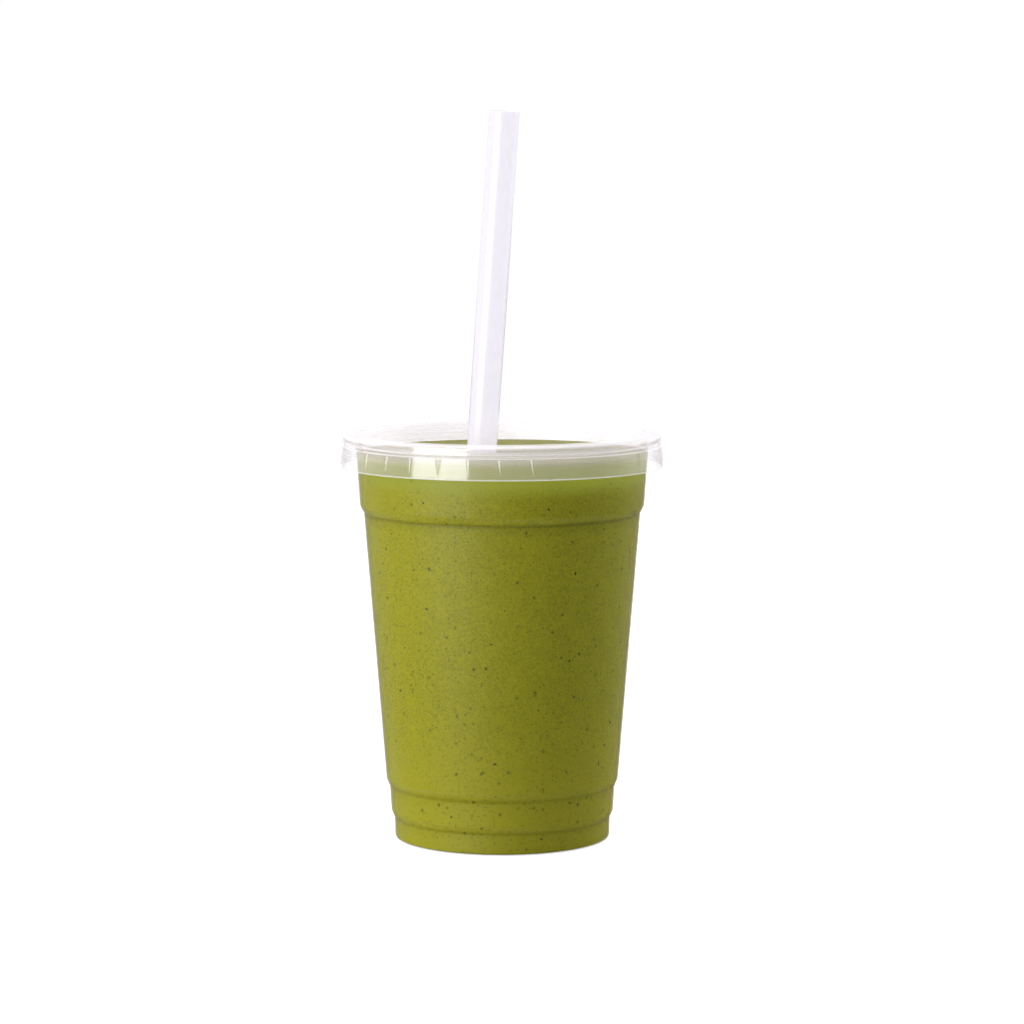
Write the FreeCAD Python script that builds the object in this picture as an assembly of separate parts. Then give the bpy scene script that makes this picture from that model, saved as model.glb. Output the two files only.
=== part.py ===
"""A clear cold cup of green smoothie under a press-on lid, with a wide straw.

Millimetres, +Z up. The origin is the centre of the cup's foot, on the surface
that it stands on. The four pieces are the cup, the smoothie that fills it, the
lid and the straw, and each is one solid.
"""
import FreeCAD, Part
import math
import os

# --- Cup -------------------------------------------------------------------
CUP_WALL = 0.6
CUP_HEIGHT = 127.85
FOOT_RADIUS = 34.0
FOOT_INNER_RADIUS = 30.6
FOOT_CORNER = 1.1
FOOT_EDGE = 0.7
FLOOR_RISE = 3.6
FLOOR_SLOPE = 1.6
LOWER_BAND_RADIUS = 34.2
LOWER_STEP_BOTTOM = 6.5
LOWER_STEP_HEIGHT = 2.3
LOWER_STEP_OUT = 1.0
MIDDLE_BAND_GROWTH = 0.5
UPPER_STEP_BOTTOM = 16.4
UPPER_STEP_HEIGHT = 2.6
UPPER_STEP_OUT = 1.05
BODY_TAPER = 6.8
SHOULDER_BOTTOM = 103.6
SHOULDER_HEIGHT = 2.2
SHOULDER_OUT = 1.2
NECK_TAPER = 1.35
BROW_ROUNDING = 2.5
NOOK_ROUNDING = 0.5
RIM_WIDTH = 3.2
RIM_HEIGHT = 2.3
RIM_ROUNDING = 0.9
RIM_INNER_ROUNDING = 0.6

# --- Lid -------------------------------------------------------------------
LID_WALL = 0.45
LID_SEAT_GAP = 0.3
LID_SIDE_GAP = 0.4
LID_PLUG_GAP = 0.95
RING_OUTER_ROUNDING = 1.4
RING_INNER_ROUNDING = 1.0
RECESS_DEPTH = 5.4
RECESS_SLOPE = 0.9
PANEL_CORNER = 0.8
CATCH_OVERLAP = 0.2
CATCH_GAP = 0.3
CATCH_HEIGHT = 0.6
SKIRT_STEP = 0.05
SKIRT_FLARE = 0.6
SKIRT_HEIGHT = 6.6
HEM_HEIGHT = 0.8
HEM_OUT = 0.12

# --- Ribs on the lid's skirt -----------------------------------------------
RIB_COUNT = 32
RIB_TOP_WIDTH = 2.4
RIB_FOOT_WIDTH = 0.5
RIB_TOP_PROUD = 0.32
RIB_FOOT_PROUD = 0.1
RIB_ROOT = 0.2
RIB_TOP_DROP = 0.35
RIB_LENGTH = 4.5

# --- Straw -----------------------------------------------------------------
STRAW_RADIUS = 4.75
STRAW_WALL = 0.3
STRAW_LENGTH = 225.0
STRAW_LEAN_SIDE = 3.9
STRAW_LEAN_FRONT = 1.5
STRAW_AT_PANEL = (-6.4, 0.0)
STRAW_FLOOR_GAP = 0.1
STRAW_HOLE_GAP = 0.3

# --- Smoothie --------------------------------------------------------------
FILL_GAP = 0.25
FILL_STRAW_GAP = 0.15
LEVEL_BELOW_PANEL = 0.3

# --- Heights and radii that follow from the values above --------------------
LOWER_STEP_RADIUS = LOWER_BAND_RADIUS + LOWER_STEP_OUT
MIDDLE_BAND_RADIUS = LOWER_STEP_RADIUS + MIDDLE_BAND_GROWTH
BODY_RADIUS = MIDDLE_BAND_RADIUS + UPPER_STEP_OUT
SHOULDER_RADIUS = BODY_RADIUS + BODY_TAPER
NECK_RADIUS = SHOULDER_RADIUS + SHOULDER_OUT
MOUTH_RADIUS = NECK_RADIUS + NECK_TAPER
RIM_RADIUS = MOUTH_RADIUS + RIM_WIDTH
RIM_UNDERSIDE = CUP_HEIGHT - RIM_HEIGHT
FLOOR_TOP = FLOOR_RISE + CUP_WALL
LID_TOP = CUP_HEIGHT + LID_SEAT_GAP + LID_WALL
PANEL_TOP = LID_TOP - RECESS_DEPTH
PANEL_UNDERSIDE = PANEL_TOP - LID_WALL
RING_INNER_RADIUS = MOUTH_RADIUS - CUP_WALL - LID_PLUG_GAP - LID_WALL
PANEL_RADIUS = RING_INNER_RADIUS - RECESS_SLOPE
RING_OUTER_RADIUS = RIM_RADIUS + LID_SIDE_GAP + LID_WALL
CATCH_RADIUS = RIM_RADIUS - CATCH_OVERLAP + LID_WALL
CATCH_TOP = RIM_UNDERSIDE - CATCH_GAP
SKIRT_TOP = CATCH_TOP - CATCH_HEIGHT
SKIRT_TOP_RADIUS = RING_OUTER_RADIUS + SKIRT_STEP
SKIRT_BOTTOM = SKIRT_TOP - SKIRT_HEIGHT
SMOOTHIE_LEVEL = PANEL_UNDERSIDE - LEVEL_BELOW_PANEL

AXIS_START = FreeCAD.Vector(0, 0, 0)
UP = FreeCAD.Vector(0, 0, 1)
FULL_TURN = 360.0


def in_profile(radius, height):
    """A point of a half profile, in the plane of the axis and +X."""
    return FreeCAD.Vector(radius, 0, height)


def corner_arc(before, corner, after, rounding):
    """The start, middle and end of the arc that rounds a corner."""
    back = (before - corner).normalize()
    ahead = (after - corner).normalize()
    half_angle = back.getAngle(ahead) / 2
    reach = rounding / math.tan(half_angle)
    bisector = (back + ahead).normalize()
    centre = corner + bisector * (rounding / math.sin(half_angle))
    start = corner + back * reach
    end = corner + ahead * reach
    middle = centre - bisector * rounding
    return start, middle, end


def rounded_outline(corners):
    """A closed wire through (radius, height, rounding) corners."""
    points = [in_profile(radius, height) for radius, height, rounding in corners]
    edges = []
    joints = []
    for index, (radius, height, rounding) in enumerate(corners):
        point = points[index]
        if rounding == 0:
            joints.append((point, point))
            continue
        following = points[(index + 1) % len(points)]
        start, middle, end = corner_arc(points[index - 1], point, following, rounding)
        edges.append(Part.Arc(start, middle, end).toShape())
        joints.append((start, end))
    for index, (entry, leave) in enumerate(joints):
        next_entry = joints[(index + 1) % len(joints)][0]
        edges.append(Part.makeLine(leave, next_entry))
    return Part.Wire(Part.__sortEdges__(edges))


def turned(corners):
    """The solid of revolution of an outline of (radius, height, rounding) corners."""
    face = Part.Face(rounded_outline(corners))
    return face.revolve(AXIS_START, UP, FULL_TURN)


def shifted(corners, outward, raised=0.0):
    """The same corners moved away from the axis and up."""
    return [(radius + outward, height + raised, rounding) for radius, height, rounding in corners]


def wall_corners():
    """The outside of the cup's side, from above the foot to below the rim."""
    return [
        (LOWER_BAND_RADIUS, LOWER_STEP_BOTTOM, NOOK_ROUNDING),
        (LOWER_STEP_RADIUS, LOWER_STEP_BOTTOM + LOWER_STEP_HEIGHT, BROW_ROUNDING),
        (MIDDLE_BAND_RADIUS, UPPER_STEP_BOTTOM, NOOK_ROUNDING),
        (BODY_RADIUS, UPPER_STEP_BOTTOM + UPPER_STEP_HEIGHT, BROW_ROUNDING),
        (SHOULDER_RADIUS, SHOULDER_BOTTOM, NOOK_ROUNDING),
        (NECK_RADIUS, SHOULDER_BOTTOM + SHOULDER_HEIGHT, BROW_ROUNDING),
    ]


def foot_corners(inset):
    """The cup's standing ring and raised floor, or their inside, a wall's thickness in."""
    return [
        (0, FLOOR_RISE + inset, 0),
        (FOOT_INNER_RADIUS - FLOOR_SLOPE + inset, FLOOR_RISE + inset, FOOT_EDGE),
        (FOOT_INNER_RADIUS + inset, inset, FOOT_EDGE),
        (FOOT_RADIUS - inset, inset, FOOT_CORNER - inset),
    ]


def cup():
    """The thin cup: a ring foot, two steps, a long taper, a shoulder and a rolled rim."""
    outside = foot_corners(0) + wall_corners()
    inside = foot_corners(CUP_WALL) + shifted(wall_corners(), -CUP_WALL)
    rim = [
        (MOUTH_RADIUS, RIM_UNDERSIDE, 0),
        (RIM_RADIUS, RIM_UNDERSIDE, RIM_ROUNDING),
        (RIM_RADIUS, CUP_HEIGHT, RIM_ROUNDING),
        (MOUTH_RADIUS - CUP_WALL, CUP_HEIGHT, RIM_INNER_ROUNDING),
    ]
    return turned(outside + rim + inside[::-1])


def straw_direction():
    """The way the straw points, up and out of the lid."""
    sideways = math.tan(math.radians(STRAW_LEAN_SIDE))
    frontways = math.tan(math.radians(STRAW_LEAN_FRONT))
    return FreeCAD.Vector(sideways, -frontways, 1).normalize()


def on_straw_axis(height):
    """The point of the straw's axis at a height."""
    direction = straw_direction()
    start = FreeCAD.Vector(*STRAW_AT_PANEL, PANEL_TOP)
    return start + direction * ((height - PANEL_TOP) / direction.z)


def straw_foot():
    """The middle of the straw's lower end, with its lowest edge just over the cup's floor."""
    lean = straw_direction().getAngle(UP)
    return on_straw_axis(FLOOR_TOP + STRAW_FLOOR_GAP + STRAW_RADIUS * math.sin(lean))


def straw_tube(growth):
    """The straw, or its wall grown all round to cut its place in the smoothie."""
    direction = straw_direction()
    foot = straw_foot() - direction * growth
    length = STRAW_LENGTH + 2 * growth
    outer = Part.makeCylinder(STRAW_RADIUS + growth, length, foot, direction)
    bore = Part.makeCylinder(STRAW_RADIUS - STRAW_WALL - growth, length, foot, direction)
    return outer.cut(bore)


def smoothie():
    """The drink: it fills the cup and the straw's bore up to just under the lid's panel."""
    wall = shifted(wall_corners(), -CUP_WALL - FILL_GAP)
    neck_radius, neck_height, _ = wall[-1]
    neck_slope = NECK_TAPER / (RIM_UNDERSIDE - neck_height)
    level_radius = neck_radius + neck_slope * (SMOOTHIE_LEVEL - neck_height)
    surface = [(level_radius, SMOOTHIE_LEVEL, 0), (0, SMOOTHIE_LEVEL, 0)]
    fill = turned(foot_corners(CUP_WALL + FILL_GAP) + wall + surface)
    return fill.cut(straw_tube(FILL_STRAW_GAP))


def skirt_radius(drop):
    """The outside of the lid's skirt at a distance below its top."""
    return SKIRT_TOP_RADIUS + SKIRT_FLARE * drop / SKIRT_HEIGHT


def lid_shell():
    """The lid without ribs or hole: a sunk panel, a rounded ring, a catch groove and a skirt."""
    hem_top = SKIRT_BOTTOM + HEM_HEIGHT
    skirt_foot_radius = skirt_radius(SKIRT_HEIGHT - HEM_HEIGHT)
    hem_radius = skirt_foot_radius + HEM_OUT
    outside = [
        (0, PANEL_TOP, 0),
        (PANEL_RADIUS, PANEL_TOP, PANEL_CORNER),
        (RING_INNER_RADIUS, LID_TOP, RING_INNER_ROUNDING),
        (RING_OUTER_RADIUS, LID_TOP, RING_OUTER_ROUNDING),
        (RING_OUTER_RADIUS, CATCH_TOP, 0),
        (CATCH_RADIUS, CATCH_TOP - CATCH_HEIGHT / 2, 0),
        (SKIRT_TOP_RADIUS, SKIRT_TOP, 0),
        (skirt_foot_radius, hem_top, 0),
        (hem_radius, hem_top, 0),
        (hem_radius, SKIRT_BOTTOM, 0),
    ]
    inside = [
        (0, PANEL_UNDERSIDE, 0),
        (PANEL_RADIUS + LID_WALL, PANEL_UNDERSIDE, PANEL_CORNER),
        (RING_INNER_RADIUS + LID_WALL, LID_TOP - LID_WALL, RING_INNER_ROUNDING - LID_WALL),
        (RING_OUTER_RADIUS - LID_WALL, LID_TOP - LID_WALL, RING_OUTER_ROUNDING - LID_WALL),
        (RING_OUTER_RADIUS - LID_WALL, CATCH_TOP, 0),
        (CATCH_RADIUS - LID_WALL, CATCH_TOP - CATCH_HEIGHT / 2, 0),
        (SKIRT_TOP_RADIUS - LID_WALL, SKIRT_TOP, 0),
        (skirt_foot_radius - LID_WALL, SKIRT_BOTTOM, 0),
    ]
    return turned(outside + inside[::-1])


def rib_section(drop, width, proud):
    """A rib's triangle at a distance below the skirt's top, as a closed wire."""
    height = SKIRT_TOP - drop
    surface = skirt_radius(drop)
    left = FreeCAD.Vector(surface - RIB_ROOT, -width / 2, height)
    crest = FreeCAD.Vector(surface + proud, 0, height)
    right = FreeCAD.Vector(surface - RIB_ROOT, width / 2, height)
    return Part.makePolygon([left, crest, right, left])


def skirt_rib():
    """One wedge on the skirt, wide and proud at its top, and narrow at its foot."""
    top = rib_section(RIB_TOP_DROP, RIB_TOP_WIDTH, RIB_TOP_PROUD)
    foot = rib_section(RIB_TOP_DROP + RIB_LENGTH, RIB_FOOT_WIDTH, RIB_FOOT_PROUD)
    return Part.makeLoft([top, foot], True, True)


def lid():
    """The whole lid, with its ring of ribs and the round hole for the straw."""
    ribs = []
    for number in range(RIB_COUNT):
        rib = skirt_rib()
        rib.rotate(AXIS_START, UP, FULL_TURN * number / RIB_COUNT)
        ribs.append(rib)
    ribbed = lid_shell().fuse(ribs)
    hole_radius = STRAW_RADIUS + STRAW_HOLE_GAP
    hole_start = on_straw_axis(PANEL_UNDERSIDE - STRAW_RADIUS)
    hole = Part.makeCylinder(hole_radius, 2 * STRAW_RADIUS, hole_start, straw_direction())
    return ribbed.cut(hole)


def main():
    """Writes one STEP file for each piece."""
    os.makedirs("parts", exist_ok=True)
    pieces = {
        "cup": cup(),
        "smoothie": smoothie(),
        "lid": lid(),
        "straw": straw_tube(0),
    }
    for name, shape in pieces.items():
        solid = shape.Solids[0]
        size = solid.BoundBox
        print(f"{name}: solids {len(shape.Solids)}, valid {shape.isValid()}, volume {solid.Volume:.0f}")
        print(f"  z {size.ZMin:.2f} to {size.ZMax:.2f}, x {size.XMin:.2f} to {size.XMax:.2f}")
        solid.exportStep(f"parts/{name}.step")


main()
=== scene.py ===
"""A clear cold cup of green smoothie with a pressed-on lid and a wide milky straw.

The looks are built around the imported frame. Each sub-assembly is a class with its sizes in
millimetres, and its place comes from the frame's own boxes. Meshes are in metres.
"""

import logging
import math
import random
from collections.abc import Callable, Iterable
from dataclasses import dataclass, field
from enum import Enum

import bmesh
import bpy
from mathutils import Matrix, Vector


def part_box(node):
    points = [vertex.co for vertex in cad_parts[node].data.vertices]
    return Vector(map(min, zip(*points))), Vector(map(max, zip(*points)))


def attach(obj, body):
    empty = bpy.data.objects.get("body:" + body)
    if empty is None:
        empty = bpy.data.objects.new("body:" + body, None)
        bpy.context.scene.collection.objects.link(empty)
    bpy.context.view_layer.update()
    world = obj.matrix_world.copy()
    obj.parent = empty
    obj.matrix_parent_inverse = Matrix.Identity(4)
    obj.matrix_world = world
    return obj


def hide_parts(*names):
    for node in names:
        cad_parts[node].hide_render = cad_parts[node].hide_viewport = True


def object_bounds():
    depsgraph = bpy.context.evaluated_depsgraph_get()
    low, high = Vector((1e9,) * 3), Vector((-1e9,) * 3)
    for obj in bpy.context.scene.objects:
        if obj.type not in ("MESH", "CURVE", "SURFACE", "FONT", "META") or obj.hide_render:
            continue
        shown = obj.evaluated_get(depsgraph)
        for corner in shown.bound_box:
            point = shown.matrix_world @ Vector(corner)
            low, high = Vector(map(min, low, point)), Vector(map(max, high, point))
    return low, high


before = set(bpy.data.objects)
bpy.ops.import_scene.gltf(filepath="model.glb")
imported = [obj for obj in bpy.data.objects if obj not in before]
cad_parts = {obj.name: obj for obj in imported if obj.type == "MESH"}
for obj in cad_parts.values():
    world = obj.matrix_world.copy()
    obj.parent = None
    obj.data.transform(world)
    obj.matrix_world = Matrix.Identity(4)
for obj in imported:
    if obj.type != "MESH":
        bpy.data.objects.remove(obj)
FRAME_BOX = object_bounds()

MM = 0.001
MERGE_DISTANCE = 2e-6
FULL_TURN = 2 * math.pi
UP = Vector((0.0, 0.0, 1.0))
log = logging.getLogger("smoothie")

Colour = tuple[float, float, float]
BLACK: Colour = (0.0, 0.0, 0.0)
WHITE: Colour = (1.0, 1.0, 1.0)


class Node(Enum):
    """The frame's nodes."""

    CUP = "cup"
    SMOOTHIE = "smoothie"
    LID = "lid"
    STRAW = "straw"


class Slot(Enum):
    """The record's material slots."""

    CUP = "clear_cup"
    SMOOTHIE = "smoothie"
    LID = "clear_lid"
    STRAW = "straw_plastic"


# --- Outlines --------------------------------------------------------------


@dataclass(frozen=True)
class Corner:
    """A corner of a turned outline, in millimetres."""

    radius: float
    height: float
    rounding: float = 0.0

    def point(self) -> Vector:
        """The corner's place in the plane of the axis and +X."""
        return Vector((self.radius, 0.0, self.height))

    def moved(self, outward: float) -> "Corner":
        """The same corner further from the axis."""
        return Corner(self.radius + outward, self.height, self.rounding)


def arc_points(before: Vector, corner: Corner, after: Vector, step: float) -> list[Vector]:
    """The points of the arc that rounds a corner.

    Args:
        before: The outline's point before the corner.
        corner: The corner and its rounding.
        after: The outline's point after the corner.
        step: The largest turn between two points, in degrees.

    Returns:
        The arc's points, or the corner alone where it isn't rounded.
    """
    middle = corner.point()
    back = (before - middle).normalized()
    ahead = (after - middle).normalized()
    half = back.angle(ahead) / 2
    turn = math.pi - 2 * half
    if corner.rounding == 0 or turn < math.radians(1):
        return [middle]
    reach = corner.rounding / math.tan(half)
    centre = middle + (back + ahead).normalized() * (corner.rounding / math.sin(half))
    first = middle + back * reach - centre
    last = middle + ahead * reach - centre
    count = max(2, math.ceil(math.degrees(turn) / step))
    points = []
    for number in range(count + 1):
        along = turn * number / count
        swung = (first * math.sin(turn - along) + last * math.sin(along)) / math.sin(turn)
        points.append(centre + swung)
    return points


def rounded(corners: list[Corner], step: float = 12.0) -> list[Vector]:
    """An open outline with its inner corners rounded.

    Args:
        corners: The outline's corners, in millimetres.
        step: The largest turn between two points of an arc, in degrees.

    Returns:
        The outline's points, in metres.
    """
    points = [corners[0].point()]
    for before, corner, after in zip(corners, corners[1:], corners[2:]):
        points += arc_points(before.point(), corner, after.point(), step)
    points.append(corners[-1].point())
    return [point * MM for point in points]


# --- Modelling -------------------------------------------------------------


class Bench:
    """The modelling steps that the pieces share."""

    SEED_SIZE = 0.002

    @staticmethod
    def clear() -> None:
        """Deselects every object."""
        bpy.ops.object.select_all(action="DESELECT")

    @staticmethod
    def adopt(name: str) -> bpy.types.Object:
        """Names the object that was just added."""
        piece = bpy.context.object
        piece.name = name
        piece.data.name = name
        return piece

    @staticmethod
    def choose(pieces: Iterable[bpy.types.Object]) -> None:
        """Selects some objects alone, and makes the first of them active."""
        Bench.clear()
        chosen = list(pieces)
        for piece in chosen:
            piece.select_set(True)
        bpy.context.view_layer.objects.active = chosen[0]

    @staticmethod
    def edit() -> None:
        """Opens the active piece for editing, with nothing picked."""
        bpy.ops.object.mode_set(mode="EDIT")
        bpy.ops.mesh.select_mode(type="VERT")
        bpy.ops.mesh.select_all(action="DESELECT")

    @staticmethod
    def close() -> None:
        """Ends editing."""
        bpy.ops.object.mode_set(mode="OBJECT")

    @staticmethod
    def pick(wanted: Callable[[Vector], bool]) -> None:
        """Picks the vertices of the open piece whose place passes a test.

        Args:
            wanted: The test of a vertex's place.
        """
        data = bpy.context.object.data
        bpy.ops.mesh.select_all(action="DESELECT")
        mesh = bmesh.from_edit_mesh(data)
        for vertex in mesh.verts:
            if wanted(vertex.co):
                vertex.select = True
        mesh.select_flush(True)
        bmesh.update_edit_mesh(data)

    @staticmethod
    def draw(name: str, points: list[Vector]) -> bpy.types.Object:
        """Draws an open line, starting from one corner of a small square.

        Args:
            name: The new piece's name.
            points: The line's points, in metres.

        Returns:
            The piece, open for editing.
        """
        half = Bench.SEED_SIZE / 2
        Bench.clear()
        bpy.ops.mesh.primitive_plane_add(size=Bench.SEED_SIZE, location=(0, 0, 0))
        piece = Bench.adopt(name)
        Bench.edit()
        Bench.pick(lambda place: place.x > 0 or place.y > 0)
        bpy.ops.mesh.delete(type="VERT")
        bpy.ops.mesh.select_all(action="SELECT")
        bpy.ops.transform.translate(value=points[0] - Vector((-half, -half, 0)))
        for here, there in zip(points, points[1:]):
            bpy.ops.mesh.extrude_vertices_move(TRANSFORM_OT_translate={"value": there - here})
        return piece

    @staticmethod
    def turn(steps: int, angle: float = FULL_TURN, copies: bool = False) -> None:
        """Spins all of the open piece clockwise about the Z axis, and merges what meets.

        Args:
            steps: The number of steps.
            angle: The whole angle, in radians.
            copies: True to repeat the piece at each step, and False to sweep it.
        """
        bpy.ops.mesh.select_all(action="SELECT")
        bpy.ops.mesh.spin(steps=steps, dupli=copies, angle=angle, center=(0, 0, 0), axis=UP)
        Bench.merge()

    @staticmethod
    def merge() -> None:
        """Merges the vertices that meet, and points all faces outwards."""
        bpy.ops.mesh.select_all(action="SELECT")
        bpy.ops.mesh.remove_doubles(threshold=MERGE_DISTANCE)
        bpy.ops.mesh.select_all(action="SELECT")
        bpy.ops.mesh.normals_make_consistent(inside=False)
        bpy.ops.mesh.select_all(action="DESELECT")

    @staticmethod
    def fill(wanted: Callable[[Vector], bool]) -> None:
        """Closes an open edge loop of the open piece with one face.

        Args:
            wanted: The test of a vertex's place that picks the loop.
        """
        Bench.pick(wanted)
        bpy.ops.mesh.edge_face_add()

    @staticmethod
    def lathe(name: str, points: list[Vector], steps: int) -> bpy.types.Object:
        """Draws an outline and turns it about the Z axis.

        Args:
            name: The new piece's name.
            points: The outline, in metres.
            steps: The number of steps round the axis.

        Returns:
            The finished piece, closed for editing.
        """
        piece = Bench.draw(name, points)
        Bench.turn(steps)
        Bench.close()
        return piece

    @staticmethod
    def smooth(piece: bpy.types.Object, angle: float) -> None:
        """Shades a piece smooth up to an angle in degrees, and settles its place in its mesh."""
        Bench.choose([piece])
        bpy.ops.object.transform_apply(location=True, rotation=True, scale=True)
        bpy.ops.object.shade_smooth_by_angle(angle=math.radians(angle))

    @staticmethod
    def apply(piece: bpy.types.Object, kind: str, **settings: object) -> None:
        """Adds a modifier with some settings and applies it.

        Args:
            piece: The piece that it shapes.
            kind: The modifier's type.
            settings: The modifier's settings by name.
        """
        Bench.choose([piece])
        modifier = piece.modifiers.new(kind.lower(), kind)
        for key, value in settings.items():
            setattr(modifier, key, value)
        bpy.ops.object.modifier_apply(modifier=modifier.name)

    @staticmethod
    def scatter(
        name: str, models: list[bpy.types.Object], places: list[tuple[int, Matrix]]
    ) -> bpy.types.Object:
        """Copies small models to many places and joins the copies.

        Args:
            name: The joined piece's name.
            models: The models, which are removed.
            places: For each copy, the number of its model and its place.

        Returns:
            The joined piece, at the origin.
        """
        copies = []
        for number, place in places:
            copy = models[number].copy()
            copy.data = models[number].data.copy()
            copy.data.transform(place)
            bpy.context.scene.collection.objects.link(copy)
            copies.append(copy)
        Bench.choose(copies)
        bpy.ops.object.join()
        piece = Bench.adopt(name)
        for model in models:
            bpy.data.objects.remove(model)
        return piece


def hand_over(
    piece: bpy.types.Object,
    finish: bpy.types.Material,
    stands_for: Node | None = None,
) -> None:
    """Dresses a finished piece and ties it to the frame.

    Args:
        piece: The finished piece.
        finish: Its material.
        stands_for: The frame's node that the piece replaces.
    """
    piece.data.materials.clear()
    piece.data.materials.append(finish)
    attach(piece, "root")
    if stands_for is not None:
        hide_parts(stands_for.value)
    log.info("%s: %d faces, finish %s", piece.name, len(piece.data.polygons), finish.name)


# --- Shader maths ----------------------------------------------------------


class Value:
    """A shader value that takes part in arithmetic."""

    def __init__(self, graph: "Graph", socket: bpy.types.NodeSocket) -> None:
        """Wraps an output socket of a graph."""
        self.graph = graph
        self.socket = socket

    def _math(self, operation: str, left: object, right: object) -> "Value":
        """Adds a Math node for an operation on two values."""
        node = self.graph.add("ShaderNodeMath", {"operation": operation}, {0: left, 1: right})
        return self.graph.out(node, 0)

    def __add__(self, other: object) -> "Value":
        """Self plus other."""
        return self._math("ADD", self, other)

    def __radd__(self, other: object) -> "Value":
        """Other plus self."""
        return self._math("ADD", other, self)

    def __sub__(self, other: object) -> "Value":
        """Self minus other."""
        return self._math("SUBTRACT", self, other)

    def __rsub__(self, other: object) -> "Value":
        """Other minus self."""
        return self._math("SUBTRACT", other, self)

    def __mul__(self, other: object) -> "Value":
        """Self times other."""
        return self._math("MULTIPLY", self, other)

    def __rmul__(self, other: object) -> "Value":
        """Other times self."""
        return self._math("MULTIPLY", other, self)

    def __pow__(self, other: object) -> "Value":
        """Self to the power of other."""
        return self._math("POWER", self, other)


class Graph:
    """The nodes of one material or world."""

    MIX_SHARE = 0
    MIX_FIRST_COLOUR = 6
    MIX_SECOND_COLOUR = 7
    MIX_COLOUR = 2

    def __init__(self, tree: bpy.types.NodeTree) -> None:
        """Empties a node tree to build on."""
        self.tree = tree
        self.tree.nodes.clear()

    @classmethod
    def of_material(cls, name: str) -> tuple["Graph", bpy.types.Material]:
        """A new material and its graph."""
        material = bpy.data.materials.new(name)
        material.use_nodes = True
        return cls(material.node_tree), material

    def add(self, kind: str, settings: dict, inputs: dict) -> bpy.types.Node:
        """Adds a node.

        Args:
            kind: The node's type.
            settings: Its settings by name.
            inputs: Values, numbers or colours by the socket's name or number.

        Returns:
            The node.
        """
        node = self.tree.nodes.new(kind)
        for key, setting in settings.items():
            setattr(node, key, setting)
        for key, given in inputs.items():
            socket = node.inputs[key]
            if isinstance(given, Value):
                self.tree.links.new(given.socket, socket)
            elif isinstance(given, tuple):
                socket.default_value = (*given, 1.0)
            else:
                socket.default_value = given
        return node

    def out(self, node: bpy.types.Node, key: str | int) -> Value:
        """An output of a node as a value."""
        return Value(self, node.outputs[key])

    def place(self) -> Value:
        """The point of the surface, in the object's coordinates."""
        return self.out(self.add("ShaderNodeTexCoord", {}, {}), "Object")

    def height(self, place: Value) -> Value:
        """The height of a point."""
        return self.out(self.add("ShaderNodeSeparateXYZ", {}, {0: place}), "Z")

    def radius(self, place: Value) -> Value:
        """The distance of a point from the Z axis."""
        parts = self.add("ShaderNodeSeparateXYZ", {}, {0: place})
        across, along = self.out(parts, "X"), self.out(parts, "Y")
        return (across * across + along * along) ** 0.5

    def ridge(self, height: Value, middle: float, reach: float) -> Value:
        """A mask that is 1 at a height and falls to 0 a reach above and below it.

        Args:
            height: The height of the point.
            middle: The height where it is 1, in millimetres.
            reach: How far it reaches, in millimetres.

        Returns:
            The mask.
        """
        below = self.step(height, (middle - reach) * MM, middle * MM)
        above = self.step(height, (middle + reach) * MM, middle * MM)
        return below * above

    def noise(self, place: Value, size: float, detail: float = 2.0) -> Value:
        """Soft noise from 0 to 1.

        Args:
            place: The point.
            size: The size of its blobs, in metres.
            detail: The number of finer layers.

        Returns:
            The noise.
        """
        inputs = {"Vector": place, "Scale": 1 / size, "Detail": detail}
        return self.out(self.add("ShaderNodeTexNoise", {}, inputs), 0)

    def step(self, value: Value, low: float, high: float) -> Value:
        """A smooth step from 0 at low to 1 at high; it falls where low is the larger."""
        inputs = {"Value": value, "From Min": low, "From Max": high}
        settings = {"interpolation_type": "SMOOTHSTEP"}
        return self.out(self.add("ShaderNodeMapRange", settings, inputs), 0)

    def blend(self, share: Value, first: Value | Colour, second: Value | Colour) -> Value:
        """A mix of two colours.

        Args:
            share: The second colour's share.
            first: The first colour.
            second: The second colour.

        Returns:
            The mixed colour.
        """
        inputs = {
            self.MIX_SHARE: share,
            self.MIX_FIRST_COLOUR: first,
            self.MIX_SECOND_COLOUR: second,
        }
        return self.out(self.add("ShaderNodeMix", {"data_type": "RGBA"}, inputs), self.MIX_COLOUR)

    def shader(self, kind: str, inputs: dict) -> Value:
        """A shader node's output."""
        return self.out(self.add(kind, {}, inputs), 0)

    def mix_shaders(self, share: Value | float, first: Value, second: Value) -> Value:
        """A mix of two shaders, with the second one's share."""
        return self.shader("ShaderNodeMixShader", {0: share, 1: first, 2: second})

    def add_shaders(self, first: Value, second: Value) -> Value:
        """The light of two shaders together."""
        return self.shader("ShaderNodeAddShader", {0: first, 1: second})

    def emission(self, colour: Colour, strength: float) -> Value:
        """A shader that only glows."""
        return self.shader("ShaderNodeEmission", {"Color": colour, "Strength": strength})

    def facing(self) -> Value:
        """How far the surface turns from the eye: 0 where it faces it and 1 at its edge."""
        return self.out(self.add("ShaderNodeLayerWeight", {}, {"Blend": 0.5}), "Facing")

    def bump(self, height: Value, distance: float, strength: float = 1.0) -> Value:
        """A bumped normal from a height."""
        inputs = {"Height": height, "Distance": distance, "Strength": strength}
        return self.out(self.add("ShaderNodeBump", {}, inputs), 0)

    def surface(self, shader: Value, kind: str = "ShaderNodeOutputMaterial") -> None:
        """Ends the graph in an output of a kind."""
        self.add(kind, {}, {"Surface": shader})


# --- Finishes --------------------------------------------------------------


@dataclass(frozen=True)
class HazeAndHighlightBand:
    """A level band of milkier plastic, with heights in millimetres: painted highlights on the
    cup's brows, and on the lid partly its own milkiness and partly painted highlight lines.
    """

    height: float
    reach: float
    haze: float


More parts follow.
